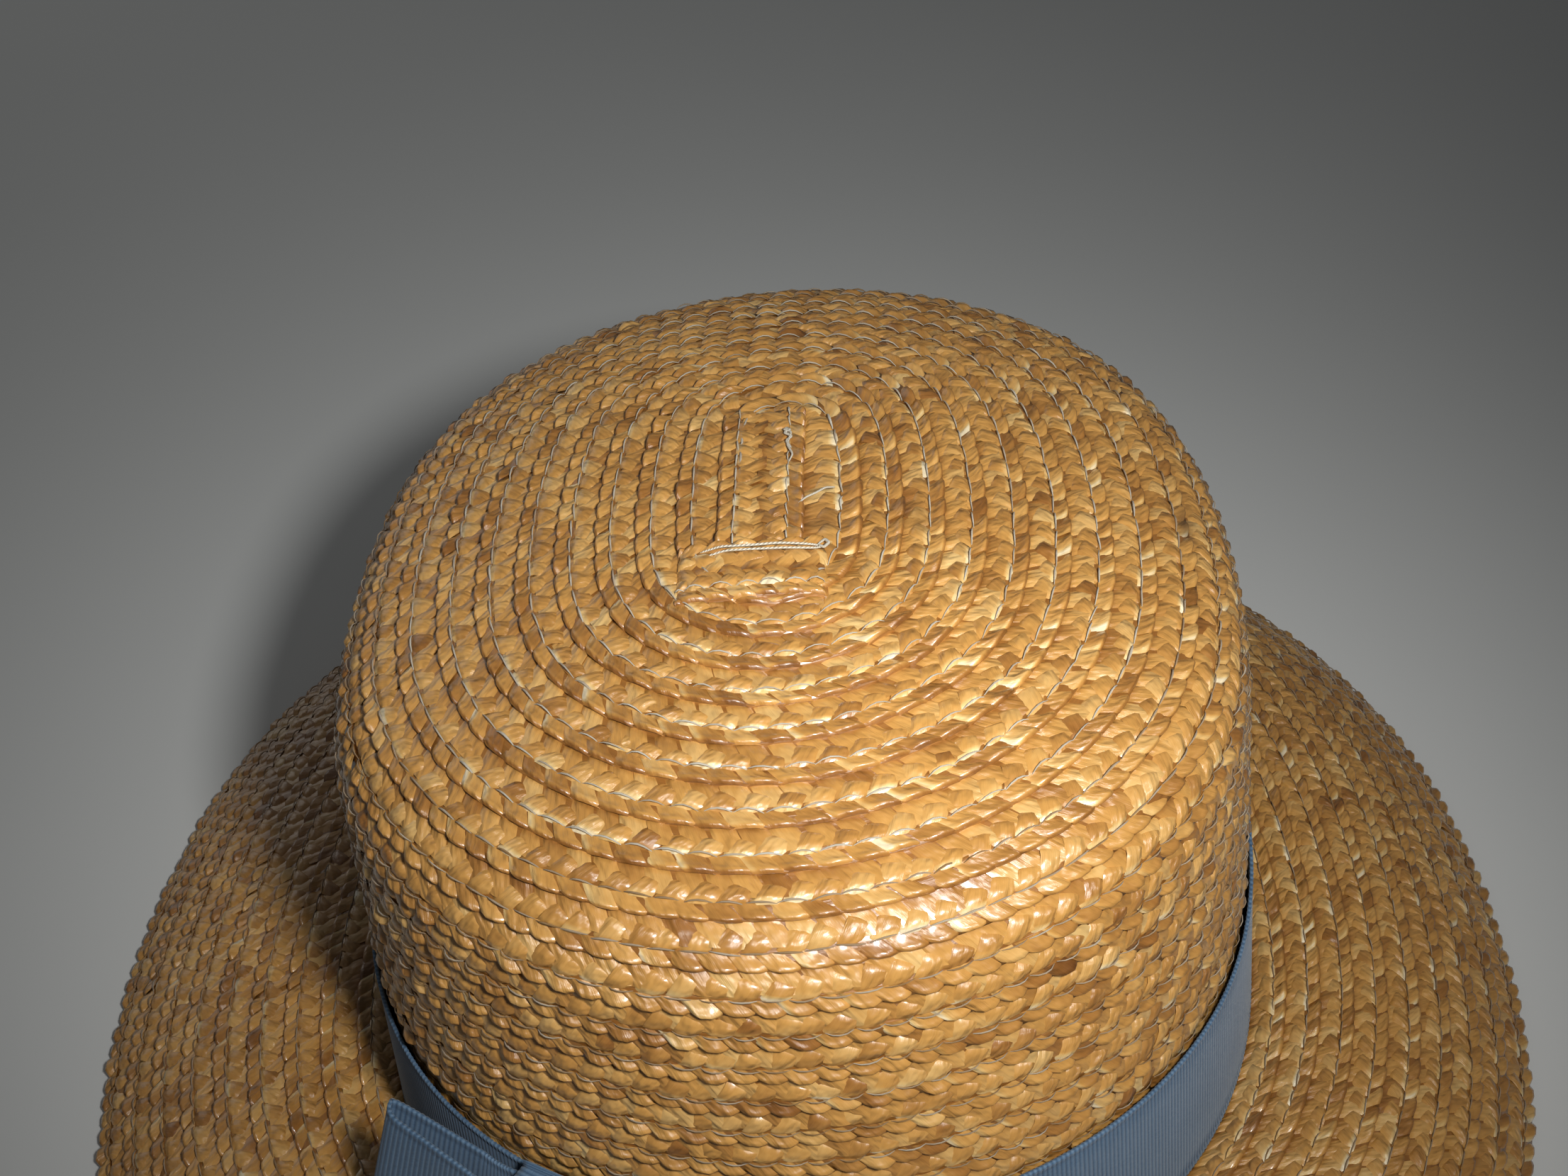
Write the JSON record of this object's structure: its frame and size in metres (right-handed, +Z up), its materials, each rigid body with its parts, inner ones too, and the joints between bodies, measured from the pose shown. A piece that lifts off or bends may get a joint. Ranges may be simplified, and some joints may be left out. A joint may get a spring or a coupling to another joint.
{
  "type": "straw bonnet",
  "caption": "Straw braid bonnet with an oval domed crown, a drooping brim, a ribbon band and a flat ribbon bow at one side.",
  "frame": {"origin": "middle of the whole outline, on the level plane that the brim's rim rests on", "axes": "+Z up through the crown, +Y along the long axis of the oval to the side far from the picture's viewer, +X to the viewer's right"},
  "size_m": [0.2896, 0.323, 0.1244],
  "materials": {
    "straw": "glossy plaited straw",
    "ribbon": "ribbed, matt to satin"
  },
  "bodies": {
    "root": {"crown": "straw", "brim": "straw", "band": "ribbon", "bow_left_loop": "ribbon", "bow_right_loop": "ribbon", "bow_knot": "ribbon"}
  },
  "joints": []
}
